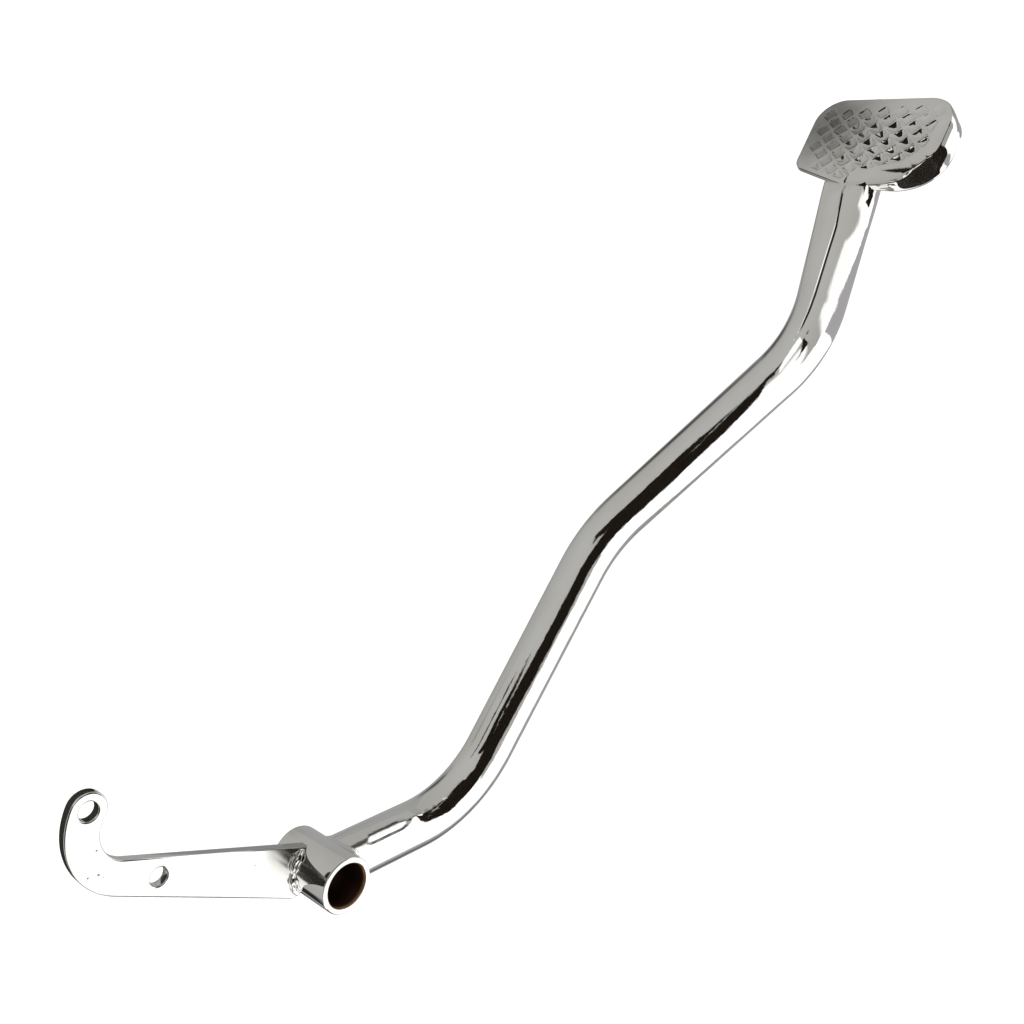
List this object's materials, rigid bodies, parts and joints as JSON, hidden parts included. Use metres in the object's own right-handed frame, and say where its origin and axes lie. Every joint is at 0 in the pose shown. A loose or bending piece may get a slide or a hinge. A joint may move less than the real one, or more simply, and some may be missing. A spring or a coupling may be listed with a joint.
{
  "type": "motorcycle brake pedal",
  "caption": "Chromed motorcycle brake pedal: bent tube arm with a pitted foot pad, welded to a pivot tube with a hooked lever plate.",
  "frame": {"origin": "middle of the pivot bore, on its axis", "axes": "+Y along the pivot bore away from the foot pad's side, +X forward along the foot tread, +Z the way the tread faces"},
  "size_m": [0.3155, 0.1132, 0.1425],
  "materials": {
    "pivot_tube": "polished chrome plate",
    "lever_plate": "polished chrome plate",
    "pedal_arm": "polished chrome plate",
    "lever_weld": "plated weld metal",
    "arm_weld": "plated weld metal"
  },
  "bodies": {
    "root": {"pivot_tube": "pivot_tube", "lever_plate": "lever_plate", "pedal_arm": "pedal_arm", "lever_weld": "lever_weld", "arm_weld": "arm_weld"}
  },
  "joints": []
}
